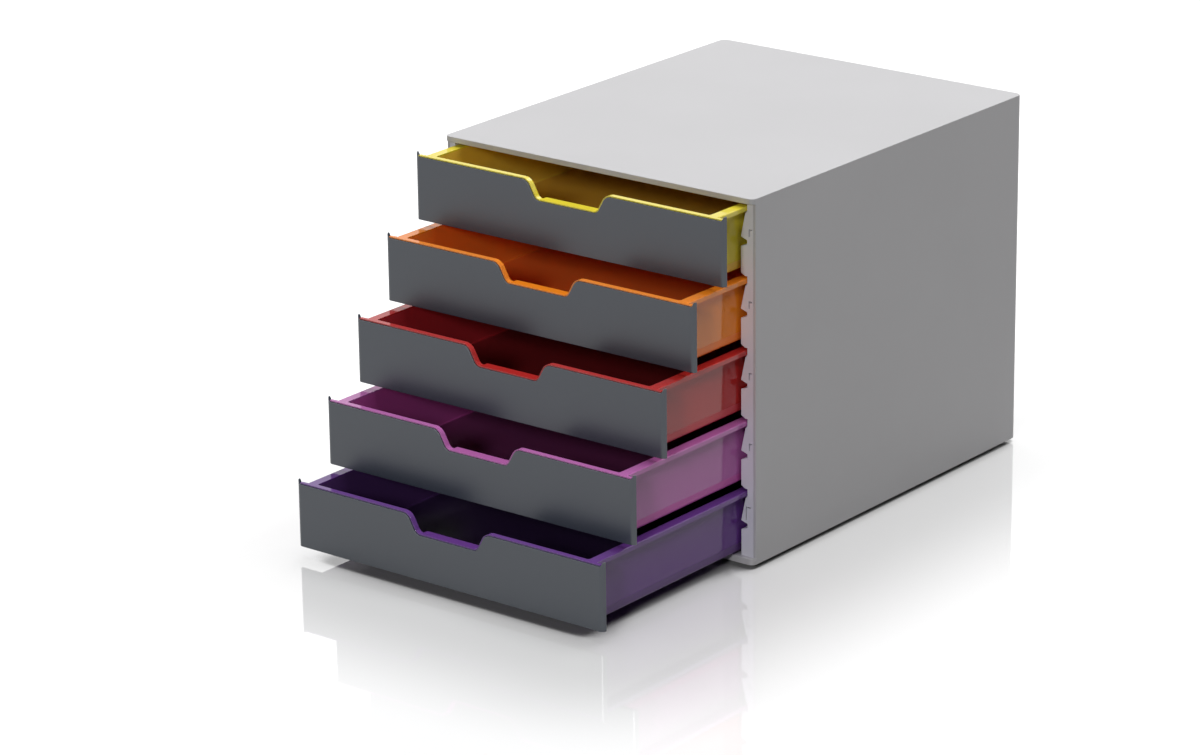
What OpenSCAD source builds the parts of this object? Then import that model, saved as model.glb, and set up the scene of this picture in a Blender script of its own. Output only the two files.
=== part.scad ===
// Desk-top drawer tower: a light grey housing with five coloured trays behind flat dark fronts.
// Millimetres, +Z up, front towards -Y. The origin lies on the table under the middle of the object
// as it stands with its drawers pulled out in a cascade.

/* [Housing] */
// Overall width, which is also the width of every front panel
housing_w = 292; // [270:1:330]
// Overall depth from the front lips to the back
housing_d = 356; // [330:1:400]
// Wall of the outer shell
wall_t = 2.5; // [2:0.1:3.5]
// Thickness of the top, seen as the edge above the first drawer
top_t = 4.4; // [3.5:0.1:6]
// Thickness of the base, seen as the edge below the last drawer
base_t = 5.1; // [4.4:0.1:7]
// How far the top and base lips stand ahead of the side walls
lip_reach = 3.6; // [3:0.1:4.2]
// Plan radius of the lips' front corners
lip_corner_r = 5; // [3:0.5:8]
// Plan radius of the rear corners
rear_corner_r = 6; // [4:0.5:12]

/* [Front panels] */
// Height of one front panel
panel_h = 53.1; // [48:0.1:62]
// Gap between one panel and the next when all are shut
panel_gap = 2.1; // [1.5:0.1:3]
// Depth of a panel from its face to its back edges
panel_t = 3.6; // [3.2:0.1:4.6]
// Thickness of the panel's front skin
panel_skin = 2.2; // [1.6:0.1:2.8]
// Plan radius of the panel's two vertical ends
panel_end_r = 4; // [2:0.1:4]
// Width of the tip that closes the panel's top edge at each end
panel_tip_w = 3; // [2.4:0.1:3.8]
// Width of that tip at its top, towards which it narrows
panel_tip_top = 1.3; // [1:0.1:2]
// Width of the returned edges and ribs on the panel's back
panel_rib_t = 1.8; // [1.4:0.1:2.4]
// Number of stiffening ribs on the panel's back
panel_rib_count = 7; // [4:1:9]

/* [Finger notch] */
// Depth of the notch from rim to rim
notch_depth = 14.6; // [10:0.1:20]
// Width of the notch's straight floor, corner to corner
notch_floor_w = 56.6; // [44:0.1:80]
// Slope of the notch's sides from the horizontal
notch_slope = 61; // [50:1:75]
// Radius where the notch starts
notch_top_r = 9; // [6:0.5:11]
// Radius at the notch's floor
notch_floor_r = 5; // [3:0.5:7]
// Depth of the grip lip at the notch's floor, measured from the panel's face
grip_depth = 9; // [8:0.5:14]
// Height of the grip lip's turned-down edge
grip_turn = 3; // [2.4:0.1:6]

/* [Trays] */
// Height of the panel's tips above the tray's rim
rim_drop = 2.1; // [1.5:0.1:4]
// Thickness of the rim where it lies over the panel
rim_t = 1; // [0.9:0.1:1.6]
// How far the rim's front edge stands behind the panel's face
rim_setback = 0.8; // [0.4:0.1:1.4]
// Thickness of the tray's walls
tray_wall = 1.6; // [1.4:0.1:2.4]
// Thickness of the tray's floor
tray_floor = 1.8; // [1.5:0.1:2.1]
// How far the side flanges reach out from the tray's walls
flange_reach = 6.7; // [6:0.1:8]
// Thickness of the flanges
flange_t = 1.8; // [1.4:0.1:2.2]
// Height of the flanges' outer edge, which rides on the guide
flange_edge_h = 3.6; // [2.8:0.1:4.2]
// How far the rear flange stands behind the rear wall
rear_flange = 5; // [3:0.5:8]
// Height of the tray's underside above the panel's lower edge
tray_lift = 1.2; // [0.9:0.1:1.8]
// How much narrower each side of the tray is at its floor than at its rim
tray_draft = 1; // [0:0.1:1.5]
// Plan radius of the tray's rear corners
tray_corner_r = 6; // [4.5:0.5:10]
// Plan radius of the tray's front corners, behind the panel
tray_front_r = 1.8; // [1.2:0.1:4]
// Radius along the tray's lower side edges
tray_floor_r = 2.5; // [2.4:0.1:4]

/* [Guides] */
// Width of a guide frame, from the shell's wall to the drawer bay
guide_w = 11.1; // [10.6:0.1:12.6]
// Thickness of the guide frame's moulded skin
guide_skin = 2; // [1.6:0.1:2.2]
// Depth of the solid front post
post_d = 12; // [10:0.5:16]
// Depth of the flared lead-in at the front post
lead_in_d = 6; // [4:0.5:8]
// Thickness of the upright ribs between the skin and the shell
guide_rib_t = 2; // [1.6:0.1:2.6]
// Height of the stop groove's centre below the panel's tips
groove_drop = 29.5; // [27.5:0.1:32]
// Depth of the stop groove
groove_depth = 5.6; // [5.2:0.1:6]
// Height of the stop groove at its mouth
groove_mouth_h = 7; // [5.8:0.1:8]
// Height of the stop groove at its root
groove_root_h = 3.2; // [3:0.1:4.4]
// Length of the springy stop finger cut free in the groove's root
finger_len = 38; // [30:1:60]
// How far the finger's nib stands into the groove
nib_h = 3.6; // [3:0.1:4.2]
// Width of the moulded slits
slit_w = 0.9; // [0.8:0.1:1.2]
// Height of the angled slit in the front post
post_slit_h = 5.8; // [4:0.1:6.5]
// Length of the angled slit's upper stroke
post_slit_w = 3.2; // [2.4:0.1:3.6]
// Height of the larger slit beside the last drawer
last_slit_h = 10.8; // [8:0.1:11.5]
// Length of the larger slit's upper stroke
last_slit_w = 4.6; // [3.6:0.1:5.4]

/* [Travel] */
// Travel of each drawer from shut to its stop
stop_travel = 230; // [200:1:250]
// How far the top drawer stands open
first_open = 34.6; // [10:0.1:60]
// How much further each lower drawer stands open
open_step = 36.3; // [0:0.1:38]

/* [Feet] */
// Diameter of the round rubber feet
foot_d = 18; // [14:0.5:24]
// Overall height of a foot
foot_h = 4.9; // [4:0.1:6]
// How far the feet stand below the base
foot_stand = 3.4; // [2.5:0.1:4]
// Distance of a foot's centre from the housing's sides, front and back
foot_inset = 24; // [20:1:40]

/* [Clearances] */
// Between a shut panel and the lip above or below it
front_gap = 0.6; // [0.4:0.1:1.2]
// Between a shut panel's back and the guide frames' front faces
close_gap = 0.3; // [0.2:0.1:0.6]
// Between a tray's wall and the guide frame
side_gap = 1.5; // [1.2:0.1:2.4]
// Between a flange's edge and the guide channel's wall
flange_gap = 0.5; // [0.3:0.1:0.8]
// Between a flange's edge and the ledge it rides on
ride_gap = 0.3; // [0.2:0.05:0.4]
// Between the stop lug and the finger's nib at full travel
stop_gap = 0.3; // [0.2:0.1:0.6]
// Between pieces that are assembled and stay put
fit_gap = 0.2; // [0.1:0.05:0.3]
// Between a shut tray and the back of the housing
tray_rear_gap = 8.5; // [6:0.5:16]

/* [Hidden] */
$fn = 64;
arc_steps = 7;
past = 1;                    // how far a cut runs past the face it opens

tray_colours = ["yellow", "orange", "red", "pink", "purple"];
tray_paints = ["#e6dc50", "#f08c28", "#cd3228", "#b264a4", "#5f3796"];
shell_paint = "#d4d4d6";
guide_paint = "#b4b2b9";
panel_paint = "#54585c";
rubber_paint = "#26272a";

drawer_count = len(tray_colours);
panel_pitch = panel_h + panel_gap;
base_z = foot_stand;
floor_z = base_z + base_t;
shell_inner_top = floor_z + 2*front_gap + drawer_count*panel_h + (drawer_count - 1)*panel_gap;
housing_top = shell_inner_top + top_t;
half_w = housing_w/2;

// Height of the tips of drawer i's panel, counted from the top
function tip_z(i) = shell_inner_top - front_gap - i*panel_pitch;

shut_y = lip_reach - close_gap - panel_t;         // a shut panel's face, from the lips' front
function open_of(i) = first_open + i*open_step;
reach_y = open_of(drawer_count - 1) - shut_y;     // the lowest panel's face ahead of the lips
origin_y = (housing_d - reach_y)/2;

bay_half = half_w - wall_t - guide_w;             // from the middle to a guide frame's bay side
tray_half = bay_half - side_gap;
tray_half_floor = tray_half - tray_draft;
flange_half = tray_half + flange_reach;
channel_x = flange_half + flange_gap;
groove_x = bay_half + groove_depth;
post_x = half_w - wall_t;

// Heights below: counted from a panel's tips
rim_z = -rim_drop;
panel_edge_z = rim_z - rim_t - fit_gap;
tray_bottom_z = -(panel_h - tray_lift);
ledge_z = rim_z - flange_edge_h - ride_gap;
groove_z = -groove_drop;

nib_back_y = lip_reach + post_d + slit_w + 2*nib_h;
lug_reach = groove_depth + side_gap - 1.6;
lug_h = groove_root_h - 1;
lug_len = 6;
lug_y = nib_back_y + stop_travel + stop_gap - shut_y;
tray_rear_y = housing_d - wall_t - tray_rear_gap - shut_y;
guide_end_y = housing_d - wall_t - rear_corner_r;

foot_names = ["front_left_foot", "front_right_foot", "rear_left_foot", "rear_right_foot"];
foot_places = [for (y = [foot_inset, housing_d - foot_inset]) for (side = [-1, 1])
               [side*(half_w - foot_inset), y]];
tray_names = [for (c = tray_colours) str(c, "_tray")];
panel_names = [for (c = tray_colours) str(c, "_front_panel")];

// ---- helpers -------------------------------------------------------------------------------

module along_y(y0, y1) { translate([0, y1, 0]) rotate([90, 0, 0]) linear_extrude(y1 - y0) children(); }

module along_z(z0, z1) { translate([0, 0, z0]) linear_extrude(z1 - z0) children(); }

module block(x0, x1, y0, y1, z0, z1) { translate([x0, y0, z0]) cube([x1 - x0, y1 - y0, z1 - z0]); }

// Rectangle with its two front corners rounded by front_r and its rear ones by rear_r
module plan(half, y0, y1, front_r, rear_r) {
    front_w = max(0, half - front_r);
    rear_w = max(0, half - rear_r);
    translate([-half, y0 + front_r]) square([2*half, y1 - y0 - front_r - rear_r]);
    translate([-rear_w, y0 + front_r]) square([2*rear_w, y1 - y0 - front_r]);
    translate([-front_w, y0]) square([2*front_w, y1 - y0 - rear_r]);
    for (side = [-1, 1]) {
        if (front_r > 0) translate([side*front_w, y0 + front_r]) circle(front_r);
        if (rear_r > 0) translate([side*rear_w, y1 - rear_r]) circle(rear_r);
    }
}

function arc(cx, cz, r, from, to) =
    [for (k = [0:arc_steps]) let (a = from + (to - from)*k/arc_steps) [cx + r*cos(a), cz + r*sin(a)]];

function flipped(points) = [for (k = [len(points) - 1:-1:0]) [-points[k][0], points[k][1]]];

// Right half of the drawer's top line, from the notch's floor out to end_x. The line lies
// `inset` inside the material, measured square to the rim's surface.
notch_half = notch_floor_w/2;
notch_top_half = notch_half + notch_depth/tan(notch_slope);
tangent = tan(notch_slope/2);
function top_line(inset, end_x) = concat(
    arc(notch_half - notch_floor_r*tangent, rim_z - notch_depth + notch_floor_r,
        notch_floor_r + inset, -90, -90 + notch_slope),
    arc(notch_top_half + notch_top_r*tangent, rim_z - notch_top_r,
        notch_top_r - inset, 90 + notch_slope, 90),
    [[end_x, rim_z - inset]]);
function whole_top_line(inset, end_x) =
    concat(flipped(top_line(inset, end_x)), top_line(inset, end_x));

// ---- housing -------------------------------------------------------------------------------

// Top, sides and back moulded in one, open at the front and below
module outer_shell() color(shell_paint) difference() {
    along_z(base_z, housing_top) plan(half_w, 0, housing_d, lip_corner_r, rear_corner_r);
    along_z(base_z - past, shell_inner_top)
        plan(post_x, -rear_corner_r, housing_d - wall_t, 0, rear_corner_r - wall_t);
    block(-half_w - past, half_w + past, -past, lip_reach, base_z - past, shell_inner_top);
}

base_skin = 2.6;
base_rib_t = 1.8;
base_cells_x = 4;
base_cells_y = 5;
boss_half = foot_d/2 + 3;

// Floor of the housing with the lower front lip, ribbed below, with a recess for each foot
module base_plate() color(shell_paint) {
    inner_half = post_x - fit_gap;
    end_y = housing_d - wall_t - fit_gap;
    cell_w = (2*inner_half - base_rib_t)/base_cells_x;
    cell_d = (end_y - base_rib_t)/base_cells_y;
    difference() {
        union() {
            intersection() {
                along_z(base_z, floor_z) plan(half_w, 0, housing_d, lip_corner_r, rear_corner_r);
                block(-half_w, half_w, 0, lip_reach, base_z, floor_z);
            }
            along_z(base_z, floor_z) plan(inner_half, 0, end_y, lip_corner_r, rear_corner_r - wall_t);
        }
        difference() {
            for (i = [0:base_cells_x - 1]) for (j = [0:base_cells_y - 1])
                block(-inner_half + base_rib_t + i*cell_w, -inner_half + (i + 1)*cell_w,
                      base_rib_t + j*cell_d + (j == 0 ? lip_reach : 0), (j + 1)*cell_d,
                      base_z - past, floor_z - base_skin);
            for (p = foot_places)
                block(p[0] - boss_half, p[0] + boss_half, p[1] - boss_half, p[1] + boss_half,
                      base_z - 2*past, floor_z + past);
        }
        for (p = foot_places) translate([p[0], p[1], base_z - past])
            cylinder(h = past + foot_h - foot_stand, d = foot_d + 2*fit_gap);
    }
}

foot_chamfer = 0.8;

module foot(i) color(rubber_paint) translate([foot_places[i][0], foot_places[i][1], 0]) {
    cylinder(h = foot_chamfer, d1 = foot_d - 2*foot_chamfer, d2 = foot_d);
    translate([0, 0, foot_chamfer]) cylinder(h = foot_h - foot_chamfer, d = foot_d);
}

// ---- guide frames --------------------------------------------------------------------------

ceiling_drop = 0.3;          // a flange channel's ceiling, below the panel's tips
ceiling_slope_h = 2.2;       // slope that leads from the bay side to that ceiling
ceiling_slope_w = 3.6;
ledge_chamfer = 0.8;

// The guide's bay side at drawer i, from the channel's ceiling down past the stop groove.
// The top drawer's channel has the shell's top for its ceiling.
function bay_side(i) = let (z = tip_z(i), head = z - ceiling_drop) concat(
    i == 0 ? [[channel_x, shell_inner_top]]
           : [[bay_half, head + ceiling_slope_h], [bay_half + ceiling_slope_w, head], [channel_x, head]],
    [[channel_x, z + ledge_z],
     [bay_half + ledge_chamfer, z + ledge_z],
     [bay_half, z + ledge_z - ledge_chamfer],
     [bay_half, z + groove_z + groove_mouth_h/2],
     [groove_x, z + groove_z + groove_root_h/2],
     [groove_x, z + groove_z - groove_root_h/2],
     [bay_half, z + groove_z - groove_mouth_h/2]]);

// The same skin's hidden side, guide_skin further out
function shell_side(i) = let (z = tip_z(i), head = z - ceiling_drop, t = guide_skin,
                              slant = 0.6*guide_skin) concat(
    i == 0 ? [[channel_x + t, shell_inner_top]]
           : [[bay_half + t, head + ceiling_slope_h + 0.55*t],
              [bay_half + ceiling_slope_w + 0.3*t, head + t], [channel_x + t, head + t]],
    [[channel_x + t, z + ledge_z - t],
     [bay_half + t, z + ledge_z - t],
     [bay_half + t, z + groove_z + groove_mouth_h/2 + slant],
     [groove_x + t, z + groove_z + groove_root_h/2 + slant],
     [groove_x + t, z + groove_z - groove_root_h/2 - slant],
     [bay_half + t, z + groove_z - groove_mouth_h/2 - slant]]);

bay_line = concat([for (i = [0:drawer_count - 1]) each bay_side(i)], [[bay_half, floor_z]]);
hidden_line = concat([for (i = [0:drawer_count - 1]) each shell_side(i)],
                     [[bay_half + guide_skin, floor_z]]);

module guide_skin_shape()
    polygon(concat(bay_line, [for (k = [len(hidden_line) - 1:-1:0]) hidden_line[k]]));

module guide_full_shape()
    polygon(concat(bay_line, [[post_x, floor_z], [post_x, shell_inner_top]]));

// Flared mouth under the flange channel, as wide as the channel at the ledge, which narrows in
// one slope down to the stop groove
module lead_in_shape(i) {
    z = tip_z(i) + ledge_z;
    foot_z = tip_z(i) + groove_z + groove_mouth_h/2 + 0.8;
    polygon([[bay_half - past, z + past], [channel_x, z + past], [channel_x, z],
             [bay_half + 3.9, z - 1.8], [bay_half, foot_z], [bay_half - past, foot_z]]);
}

// Angled slit in the post's face: an upright with a stroke outwards at its top. The one beside
// the last drawer is larger.
module post_slit(i) {
    last = i == drawer_count - 1;
    x = last ? bay_half + 4 : post_x - 4.2;
    w = last ? last_slit_w : post_slit_w;
    h = last ? last_slit_h : post_slit_h;
    z = tip_z(i) + groove_z + groove_mouth_h/2 + 1;
    block(x, x + slit_w, lip_reach - past, lip_reach + lead_in_d, z, z + h);
    block(x, x + w, lip_reach - past, lip_reach + lead_in_d, z + h - slit_w, z + h);
}

// Two long slits and one across the end free the finger, which stays joined at its rear
module finger_slits(i) {
    z = tip_z(i) + groove_z;
    y0 = lip_reach + post_d;
    for (side = [-1, 1])
        translate([0, 0, z + side*(groove_root_h + slit_w)/2 - slit_w/2])
            block(groove_x - 1.2, groove_x + guide_skin + 2*past, y0, y0 + finger_len, 0, slit_w);
    block(groove_x - 1.2, groove_x + guide_skin + 2*past, y0, y0 + slit_w,
          z - groove_root_h/2 - slit_w, z + groove_root_h/2 + slit_w);
}

// Ramp that lets the lug of a tray in and stops it on its way out
module nib(i) along_z(tip_z(i) + groove_z - groove_root_h/2 + fit_gap,
                      tip_z(i) + groove_z + groove_root_h/2 - fit_gap)
    polygon([[groove_x + fit_gap, nib_back_y - 2*nib_h], [groove_x, nib_back_y - 2*nib_h],
             [groove_x - nib_h, nib_back_y - 1], [groove_x - nib_h, nib_back_y],
             [groove_x + fit_gap, nib_back_y]]);

// Moulded side frame: skin with the flange channels and stop grooves, solid front post and ribs
module guide_frame() color(guide_paint) {
    rib_pitch = (guide_end_y - guide_rib_t - lip_reach)/4;
    difference() {
        union() {
            along_y(lip_reach, guide_end_y) guide_skin_shape();
            along_y(lip_reach, lip_reach + post_d) guide_full_shape();
            for (k = [1:4]) {
                y = lip_reach + k*rib_pitch;
                along_y(y, y + guide_rib_t) guide_full_shape();
            }
        }
        for (i = [0:drawer_count - 1]) {
            along_y(lip_reach - past, lip_reach + lead_in_d) lead_in_shape(i);
            post_slit(i);
            finger_slits(i);
        }
    }
    for (i = [0:drawer_count - 1]) nib(i);
}

// ---- drawers -------------------------------------------------------------------------------

// Puts a drawer's piece where drawer i stands open. Its own zero is the panel's face and tips.
module in_drawer(i) translate([0, shut_y - open_of(i), tip_z(i)]) children();

module panel_outline(edge_inset, side_inset, foot_inset_z, tips) {
    end_x = half_w - panel_tip_w - (tips ? 0 : side_inset - fit_gap);
    polygon(concat(
        [[-half_w + side_inset, -panel_h + foot_inset_z]],
        tips ? [[-half_w, 0], [-half_w + panel_tip_top, 0]]
             : [[-half_w + side_inset, rim_z - edge_inset]],
        whole_top_line(edge_inset, end_x),
        tips ? [[half_w - panel_tip_top, 0], [half_w, 0]]
             : [[half_w - side_inset, rim_z - edge_inset]],
        [[half_w - side_inset, -panel_h + foot_inset_z]]));
}

module panel_hollow() along_y(panel_skin, panel_t + past)
    panel_outline(rim_t + fit_gap + panel_rib_t, panel_tip_w + panel_rib_t, panel_rib_t, false);

// Flat dark front with rounded ends. Its back is hollow inside returned edges and ribs. The
// tray's rim lies in its top edge between the two tips, and a thin lip under the tray's front
// closes its lower edge.
module front_panel() color(panel_paint) {
    difference() {
        intersection() {
            along_y(0, panel_t) panel_outline(rim_t + fit_gap, 0, 0, true);
            along_z(-panel_h, 0) plan(half_w, 0, 2*panel_t, panel_end_r, 0);
        }
        panel_hollow();
    }
    intersection() {
        panel_hollow();
        for (k = [0:panel_rib_count - 1]) {
            x = tray_half*(2*k/(panel_rib_count - 1) - 1);
            block(x - panel_rib_t/2, x + panel_rib_t/2, panel_skin - past, panel_t, -panel_h, 0);
        }
    }
    block(-shelf_half, shelf_half, panel_skin, panel_t + shelf_reach,
          -panel_h, tray_bottom_z - fit_gap);
}
shelf_half = tray_half*0.8;
shelf_reach = 3;

function tray_section(half_top, half_floor, z_floor, r, z_top) = concat(
    [[half_top, z_top]],
    [for (k = [0:arc_steps]) let (a = -90*k/arc_steps) [half_floor - r + r*cos(a), z_floor + r + r*sin(a)]]);

module tray_section_shape(inset, floor_inset, z_top) {
    right = tray_section(tray_half - inset, tray_half_floor - inset,
                         tray_bottom_z + floor_inset, tray_floor_r - floor_inset, z_top);
    polygon(concat(right, flipped(right)));
}

// Everything under the drawer's top line
module under_top_line(inset, y0, y1) along_y(y0, y1)
    polygon(concat([[-half_w, tray_bottom_z], [-half_w, rim_z - inset]],
                   whole_top_line(inset, half_w), [[half_w, tray_bottom_z]]));

// Section of a side flange: a plate with a deeper outer edge, rounded on top
edge_r = 1;
flange_edge_t = 1.8;
module flange_shape() {
    translate([tray_half - tray_wall, rim_z - flange_t])
        square([flange_reach + tray_wall - edge_r, flange_t]);
    translate([flange_half - flange_edge_t, rim_z - flange_edge_h])
        square([flange_edge_t, flange_edge_h - edge_r]);
    translate([flange_half - edge_r, rim_z - edge_r]) circle(edge_r);
}

// Band of even thickness along the top line, out to end_x on both sides
module rim_band(end_x) polygon(concat(
    whole_top_line(0, end_x),
    [for (k = [len(whole_top_line(rim_t, end_x)) - 1:-1:0]) whole_top_line(rim_t, end_x)[k]]));

// Coloured tray: rounded box, side and rear flanges, and a front rim that follows the notch
module tray() {
    wall_back_y = tray_rear_y - rear_flange;
    rim_half = half_w - panel_tip_w - fit_gap;
    rim_back_y = panel_t + tray_wall;
    difference() {
        union() {
            intersection() {
                along_z(tray_bottom_z, rim_z)
                    plan(tray_half, panel_t, wall_back_y, tray_front_r, tray_corner_r);
                along_y(panel_t, wall_back_y) tray_section_shape(0, 0, rim_z);
                under_top_line(0, 0, wall_back_y + past);
            }
            for (side = [0, 1]) mirror([side, 0, 0])
                along_y(panel_t, tray_rear_y) flange_shape();
            block(-flange_half + edge_r, flange_half - edge_r, wall_back_y - tray_wall, tray_rear_y,
                  rim_z - flange_t, rim_z);
        }
        intersection() {
            along_z(tray_bottom_z + tray_floor, rim_z + past)
                plan(tray_half - tray_wall, panel_t + tray_wall, wall_back_y - tray_wall,
                     tray_front_r, tray_corner_r - tray_wall);
            along_y(panel_t, wall_back_y) tray_section_shape(tray_wall, tray_floor, rim_z + past);
        }
        // clears the front wall and flanges out of the notch
        along_y(-past, rim_back_y) polygon(concat(
            whole_top_line(0, notch_top_half + notch_top_r*tangent),
            [[notch_top_half, rim_z + past], [-notch_top_half, rim_z + past]]));
    }
    // rim over the panel and the front wall; its ends stay ahead of the guides' posts
    along_y(rim_setback, panel_t) rim_band(rim_half);
    along_y(panel_t - fit_gap, rim_back_y) rim_band(flange_half - edge_r);
    // grip lip with its turned-down edge
    grip_half = notch_half - notch_floor_r*tangent;
    block(-grip_half, grip_half, rim_setback, grip_depth,
          rim_z - notch_depth - rim_t, rim_z - notch_depth);
    block(-grip_half, grip_half, grip_depth - rim_t, grip_depth,
          rim_z - notch_depth - grip_turn, rim_z - notch_depth);
    // stop lugs, which run in the guide frames' grooves
    for (side = [0, 1]) mirror([side, 0, 0])
        block(tray_half - tray_wall/2, tray_half + lug_reach, lug_y, lug_y + lug_len,
              groove_z - lug_h/2, groove_z + lug_h/2);
}

// ---- nodes ---------------------------------------------------------------------------------

module placed() translate([0, -origin_y, 0]) children();

placed() outer_shell();
placed() base_plate();
placed() mirror([1, 0, 0]) guide_frame();  // left_guide_frame
placed() guide_frame();  // right_guide_frame
for (i = [0:len(foot_names) - 1])
    placed() foot(i);
for (i = [0:drawer_count - 1]) {
    placed() in_drawer(i) color(tray_paints[i]) tray();
    placed() in_drawer(i) front_panel();
}
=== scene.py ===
import math

import bpy
from mathutils import Matrix, Vector


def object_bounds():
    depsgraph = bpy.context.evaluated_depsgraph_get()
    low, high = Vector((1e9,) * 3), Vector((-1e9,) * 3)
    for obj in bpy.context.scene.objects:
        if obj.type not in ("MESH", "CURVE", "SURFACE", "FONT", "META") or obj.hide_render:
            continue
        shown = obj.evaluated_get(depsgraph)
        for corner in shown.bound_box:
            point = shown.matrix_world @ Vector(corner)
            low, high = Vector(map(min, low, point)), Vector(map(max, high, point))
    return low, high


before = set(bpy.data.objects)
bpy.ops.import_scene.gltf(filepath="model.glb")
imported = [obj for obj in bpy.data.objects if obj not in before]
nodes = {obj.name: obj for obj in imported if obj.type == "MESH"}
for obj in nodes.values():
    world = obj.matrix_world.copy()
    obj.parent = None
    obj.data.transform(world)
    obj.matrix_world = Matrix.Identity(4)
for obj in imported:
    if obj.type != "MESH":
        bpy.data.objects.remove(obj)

solid_box = [list(corner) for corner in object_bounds()]

# ---- Camera ---------------------------------------------------------------------------------
# A long lens at the photograph's viewing angle, a little from above and to the right of the
# drawer fronts. The aim is the point that the middle of the picture looks at.
camera_distance = 3.5014
camera_azimuth = math.radians(38.41)
camera_height_angle = math.radians(18.97)
camera_roll = math.radians(-0.71)
aim = Vector((-0.0603, -0.0085, 0.0882))

backward = Vector((math.sin(camera_azimuth) * math.cos(camera_height_angle),
                   -math.cos(camera_azimuth) * math.cos(camera_height_angle),
                   math.sin(camera_height_angle)))
level_right = Vector((math.cos(camera_azimuth), math.sin(camera_azimuth), 0))
level_up = backward.cross(level_right)
right = math.cos(camera_roll) * level_right + math.sin(camera_roll) * level_up
up = math.cos(camera_roll) * level_up - math.sin(camera_roll) * level_right

camera = bpy.data.objects.new("camera", bpy.data.cameras.new("camera"))
camera.matrix_world = Matrix((right, up, backward)).transposed().to_4x4()
camera.location = aim + camera_distance * backward
camera.data.sensor_width = 36
camera.data.lens = 135
camera.data.clip_end = 50
bpy.context.scene.collection.objects.link(camera)
bpy.context.scene.camera = camera
bpy.context.scene.view_settings.view_transform = "Standard"

# ---- Studio light ---------------------------------------------------------------------------
# A wide soft lamp overhead, leaning a little to the back, and a small one in front on the right,
# whose shadows have clear edges. The room looks white to the camera and in reflections, and gives
# hardly any light.
room_fill = 0.01


def lamp(name, towards, width_angle, strength):
    """A soft lamp so far away that it lights everything at the same level."""
    data = bpy.data.lights.new(name, "SUN")
    data.angle = math.radians(width_angle)
    data.energy = strength
    made = bpy.data.objects.new(name, data)
    made.rotation_euler = Vector(towards).to_track_quat("Z", "Y").to_euler()
    bpy.context.scene.collection.objects.link(made)


lamp("overhead_lamp", towards=(-0.02, 0.28, 0.96), width_angle=70, strength=3.3)
lamp("front_lamp", towards=(0.31, -0.86, 0.41), width_angle=8, strength=0.92)


class Value:
    """A shader socket that takes part in sums: each sum adds its Math node."""

    def __init__(self, surface, socket):
        self.surface, self.socket = surface, socket

    def _sum(self, operation, first, second):
        return self.surface.node("Math", {"operation": operation}, {0: first, 1: second})

    def __add__(self, other):
        return self._sum("ADD", self, other)

    def __sub__(self, other):
        return self._sum("SUBTRACT", self, other)

    def __rsub__(self, other):
        return self._sum("SUBTRACT", other, self)

    def __mul__(self, other):
        return self._sum("MULTIPLY", self, other)

    __radd__, __rmul__ = __add__, __mul__


class Surface:
    """A node tree being filled: a finish of the object, the floor or the room."""

    def __init__(self, owner):
        owner.use_nodes = True
        self.owner, self.tree = owner, owner.node_tree
        self.tree.nodes.clear()

    def node(self, kind, settings=None, sockets=None, out=0):
        """Adds a node and gives back one of its outputs, or nothing if it has none."""
        made = self.tree.nodes.new("ShaderNode" + kind)
        for name, value in (settings or {}).items():
            setattr(made, name, value)
        for name, value in (sockets or {}).items():
            if isinstance(value, Value):
                self.tree.links.new(value.socket, made.inputs[name])
            else:
                made.inputs[name].default_value = value
        return Value(self, made.outputs[out]) if made.outputs else None

    def mix(self, amount, first, second):
        """A colour between two: Mix's colour sockets are numbers 6 and 7."""
        return self.node("Mix", {"data_type": "RGBA"}, {0: amount, 6: first, 7: second}, out=2)

    def larger(self, first, second):
        """The larger of two numbers."""
        return self.node("Math", {"operation": "MAXIMUM"}, {0: first, 1: second})


room = Surface(bpy.data.worlds.new("room"))
seen = room.node("LightPath", out="Is Camera Ray")
mirrored = room.node("LightPath", out="Is Glossy Ray")
room_light = room.larger(seen, mirrored) * (1 - room_fill) + room_fill
background = room.node("Background", sockets={"Color": (1, 1, 1, 1), "Strength": room_light})
room.node("OutputWorld", sockets={"Surface": background})
bpy.context.scene.world = room.owner

# ---- Floor ----------------------------------------------------------------------------------
# A polished white table top that shows the object's shadow and a clear reflection of it. What the
# camera sees of it is lifted by a little light of its own, more of it further out, and by none
# close under the object.
floor_reach = 12
polish_share = 0.36
polish_roughness = 0.03
tone_to_camera = 0.50
tone_to_object = 0.28
tone_in_mirrors = 0.86
near_lift, far_lift = 0.30, 0.60
near_distance, far_distance = 0.04, 0.2
shade_reach = 0.05
no_glow_openness, full_glow_openness = 0.4, 0.57


def grey(tone):
    return (tone, tone, tone, 1)


floor_corners = [(-floor_reach, -floor_reach, 0), (floor_reach, -floor_reach, 0),
                 (floor_reach, floor_reach, 0), (-floor_reach, floor_reach, 0)]
floor_mesh = bpy.data.meshes.new("floor")
floor_mesh.from_pydata(floor_corners, [], [(0, 1, 2, 3)])
floor = bpy.data.objects.new("floor", floor_mesh)
bpy.context.scene.collection.objects.link(floor)

table_top = Surface(bpy.data.materials.new("white_table_top"))
seen = table_top.node("LightPath", out="Is Camera Ray")
mirrored = table_top.node("LightPath", out="Is Glossy Ray")
tone = table_top.mix(seen, grey(tone_to_object), grey(tone_to_camera))
tone = table_top.mix(mirrored, tone, grey(tone_in_mirrors))
board = table_top.node("BsdfDiffuse", sockets={"Color": tone})
polish = table_top.node("BsdfAnisotropic", sockets={"Color": (1, 1, 1, 1), "Roughness": polish_roughness})
polished = table_top.node("MixShader", sockets={0: seen * polish_share, 1: board, 2: polish})

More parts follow.
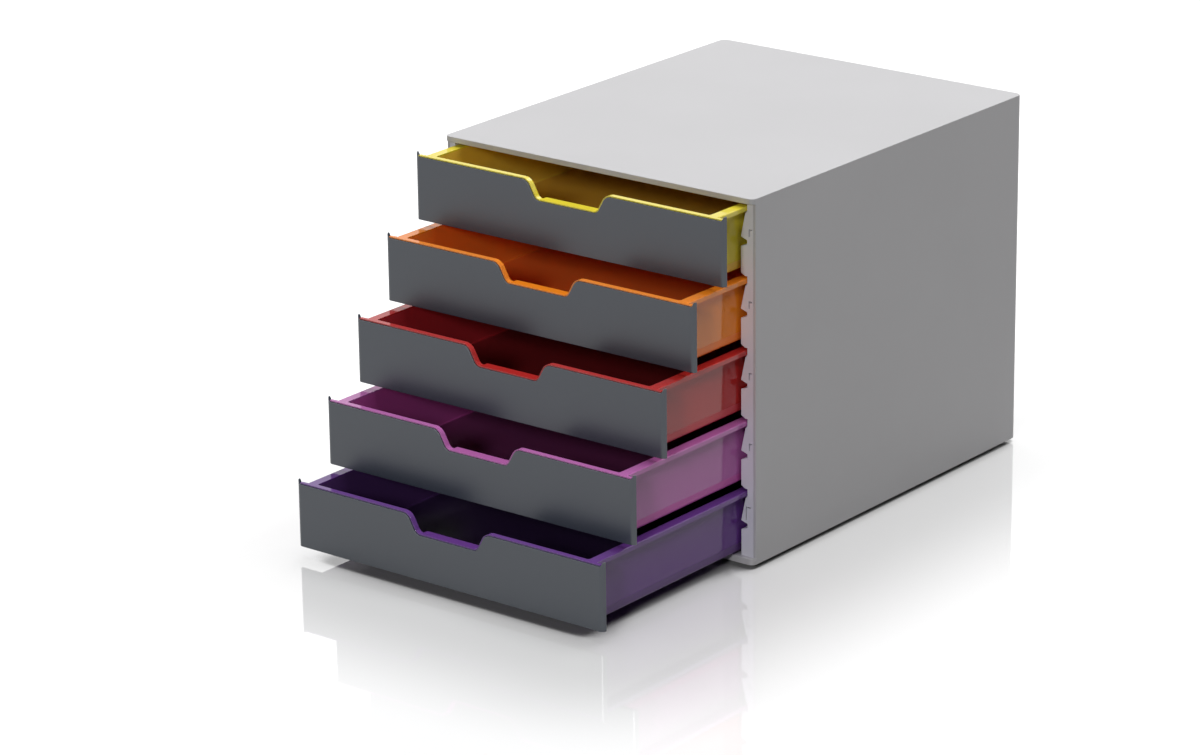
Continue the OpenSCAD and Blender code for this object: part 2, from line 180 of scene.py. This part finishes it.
lowest, highest = (Vector(corner) for corner in solid_box)
half_size = (highest - lowest) / 2
place = table_top.node("TexCoord", out="Object")
beside = table_top.node("VectorMath", {"operation": "ABSOLUTE"}, {0: place})
beside = table_top.node("VectorMath", {"operation": "SUBTRACT"},
                        {0: beside, 1: (half_size.x, half_size.y, 0)})
beside = table_top.node("VectorMath", {"operation": "MAXIMUM"}, {0: beside, 1: (0, 0, 0)})
distance = table_top.node("VectorMath", {"operation": "LENGTH"}, {0: beside}, out="Value")
lift = table_top.node("MapRange", {"interpolation_type": "SMOOTHSTEP"},
                      {"Value": distance, "From Min": near_distance, "From Max": far_distance,
                       "To Min": near_lift, "To Max": far_lift})
openness = table_top.node("AmbientOcclusion", {"samples": 16}, {"Distance": shade_reach}, out="AO")
open_sky = table_top.node("MapRange", sockets={
    "Value": openness, "From Min": no_glow_openness, "From Max": full_glow_openness})
glow = table_top.node("Emission", sockets={"Color": seen * open_sky * lift, "Strength": 1.0})
both = table_top.node("AddShader", sockets={0: polished, 1: glow})
table_top.node("OutputMaterial", sockets={"Surface": both})
floor_mesh.materials.append(table_top.owner)

# ---- Housing --------------------------------------------------------------------------------
# Light grey polystyrene with a fine spark-eroded grain: the hood of top, sides and back, and the
# base that closes it below. Both are injection moulded.
weld_distance = 1e-6
rounded_from_angle = math.radians(28)
mottle_scale = 9.0
mottle_shade = 0.05
mottle_gloss = 0.08
grain_height = 0.00006
grain_size = 0.00035
shell_edge = 0.00045
base_edge = 0.0003


def soften_edges(piece, radius):
    """Rounds a moulded piece's sharp edges as its mould does."""
    weld = piece.modifiers.new("weld", "WELD")
    weld.merge_threshold = weld_distance
    bevel = piece.modifiers.new("edges", "BEVEL")
    bevel.width = radius
    bevel.segments = 2
    bevel.limit_method = "ANGLE"
    bevel.angle_limit = rounded_from_angle
    bevel.use_clamp_overlap = False
    bevel.loop_slide = False
    bevel.face_strength_mode = "FSTR_ALL"
    flats = piece.modifiers.new("flats", "WEIGHTED_NORMAL")
    flats.mode = "FACE_AREA"
    flats.use_face_influence = True
    flats.keep_sharp = False


def moulded(name, colour, roughness, grain, sheen=0.5, inner=None):
    """Moulded plastic: a faint flow mottle in its colour and a fine even grain. The last argument
    gives a tray's inside its painted shade and a duller gloss: a function of the surface, its place,
    its mottled colour and its gloss."""
    finish = Surface(bpy.data.materials.new(name))
    place = finish.node("TexCoord", out="Object")
    mottle = finish.node("TexNoise", sockets={"Vector": place, "Scale": mottle_scale, "Detail": 3.0})
    speck = finish.node("TexNoise", sockets={"Vector": place, "Scale": 1 / grain_size, "Detail": 2.0})
    paler = [min(1, c * (1 + mottle_shade)) for c in colour] + [1]
    darker = [c * (1 - mottle_shade) for c in colour] + [1]
    bump = finish.node("Bump", sockets={"Strength": grain, "Distance": grain_height, "Height": speck})
    gloss = (mottle - 0.5) * mottle_gloss + roughness
    shade = finish.mix(mottle, darker, paler)
    if inner:
        shade, gloss = inner(finish, place, shade, gloss)
    plastic = finish.node("BsdfPrincipled", sockets={
        "Base Color": shade, "Roughness": gloss, "Specular IOR Level": sheen, "Normal": bump})
    finish.node("OutputMaterial", sockets={"Surface": plastic})
    return finish.owner


def dress(node, material, radius):
    nodes[node].data.materials.clear()
    nodes[node].data.materials.append(material)
    soften_edges(nodes[node], radius)


shell_plastic = moulded("shell_plastic", (0.505, 0.50, 0.512), roughness=0.38, grain=0.5)
dress("outer_shell", shell_plastic, shell_edge)
dress("base_plate", shell_plastic, base_edge)

# ---- Guide frames ---------------------------------------------------------------------------
# Satin grey plastic frames behind the shell's side walls, with channels for the trays' flanges.
# Each is moulded in one with its springy stop fingers and stands on the base.
guide_edge = 0.00012

guide_plastic = moulded("guide_plastic", (0.70, 0.70, 0.76), roughness=0.4, grain=0.2)
dress("left_guide_frame", guide_plastic, guide_edge)
dress("right_guide_frame", guide_plastic, guide_edge)

# ---- Feet -----------------------------------------------------------------------------------
# Black rubber discs pressed into recesses of the base. They hold the housing's lower edge a few
# millimetres off the table.
foot_edge = 0.0003

foot_rubber = moulded("foot_rubber", (0.02, 0.02, 0.022), roughness=0.75, grain=0.6)
for corner in ("front_left", "front_right", "rear_left", "rear_right"):
    dress(corner + "_foot", foot_rubber, foot_edge)

# ---- Trays ----------------------------------------------------------------------------------
# One-piece polystyrene trays, moulded in a polished tool, so their walls are glossy. Each has the
# colour of its outside, and painted shade inside: deeper colours on its inner walls and darker ones
# on its floor, where the shade falls.
# Each tray: its outside colour, the painted shade of its inner walls, the darker painted shade of its
# floor.
tray_colours = {
    "yellow": ((0.84, 0.70, 0.05), (0.85, 0.57, 0.07), (0.80, 0.44, 0.05)),
    "orange": ((0.96, 0.27, 0.018), (0.94, 0.24, 0.03), (0.90, 0.18, 0.03)),
    "red": ((0.50, 0.026, 0.024), (0.50, 0.03, 0.04), (0.20, 0.014, 0.018)),
    "pink": ((0.50, 0.14, 0.43), (0.52, 0.09, 0.37), (0.18, 0.036, 0.13)),
    "purple": ((0.14, 0.046, 0.26), (0.10, 0.04, 0.17), (0.036, 0.018, 0.065)),
}
tray_edge = 0.0001
tray_roughness = 0.09
inside_half_width = 0.130
inside_behind_front = 0.0084
inside_ahead_of_rear = 0.0056
inside_over_underside = 0.0009
inside_under_rim = 0.0012
inside_dullness = 0.3
floor_ends, wall_starts = 0.965, 0.985


def tray_inside_painted_shade(tray, painted_wall_shade, painted_floor_shade):
    """Painted shade inside one tray: the deeper colours of its walls and the darker one of its
    floor, in the box that they fill, and a duller gloss. The floor's painted shade ends and the
    walls' starts near the box's sides."""
    front_low, rear_high = Vector(tray.bound_box[0]), Vector(tray.bound_box[6])
    low = Vector((-inside_half_width, front_low.y + inside_behind_front,
                  front_low.z + inside_over_underside))
    high = Vector((inside_half_width, rear_high.y - inside_ahead_of_rear,
                   rear_high.z - inside_under_rim))

    def paint_shade_inside(finish, place, shade, gloss):
        apart = finish.node("VectorMath", {"operation": "SUBTRACT"}, {0: place, 1: (low + high) / 2})
        apart = finish.node("VectorMath", {"operation": "ABSOLUTE"}, {0: apart})
        apart = finish.node("VectorMath", {"operation": "DIVIDE"}, {0: apart, 1: (high - low) / 2})
        across, along, upward = [finish.node("SeparateXYZ", sockets={0: apart}, out=axis)
                                 for axis in "XYZ"]
        furthest = finish.larger(finish.larger(across, along), upward)
        inside = finish.node("Math", {"operation": "LESS_THAN"}, {0: furthest, 1: 1.0})
        beside_wall = finish.node("MapRange", sockets={
            "Value": across, "From Min": floor_ends, "From Max": wall_starts})
        # Painted shade: the walls' deeper colour and the floor's darker one, put where the inside is in
        # shade.
        painted_inside_shade = finish.mix(beside_wall, (*painted_floor_shade, 1), (*painted_wall_shade, 1))
        return finish.mix(inside, shade, painted_inside_shade), gloss + inside * inside_dullness

    return paint_shade_inside


for colour, (paint, painted_wall_shade, painted_floor_shade) in tray_colours.items():
    tray_plastic = moulded(colour + "_plastic", paint, tray_roughness, grain=0.0,
                           inner=tray_inside_painted_shade(nodes[colour + "_tray"], painted_wall_shade, painted_floor_shade))
    dress(colour + "_tray", tray_plastic, tray_edge)

# ---- Front panels ---------------------------------------------------------------------------
# Flat dark grey fronts with a fine satin grain and ribbed backs. Each is moulded by itself and
# fixed to its tray's front.
panel_edge = 0.0004

panel_plastic = moulded("panel_plastic", (0.038, 0.049, 0.066), roughness=0.33, grain=0.35, sheen=0.9)
for colour in tray_colours:
    dress(colour + "_front_panel", panel_plastic, panel_edge)
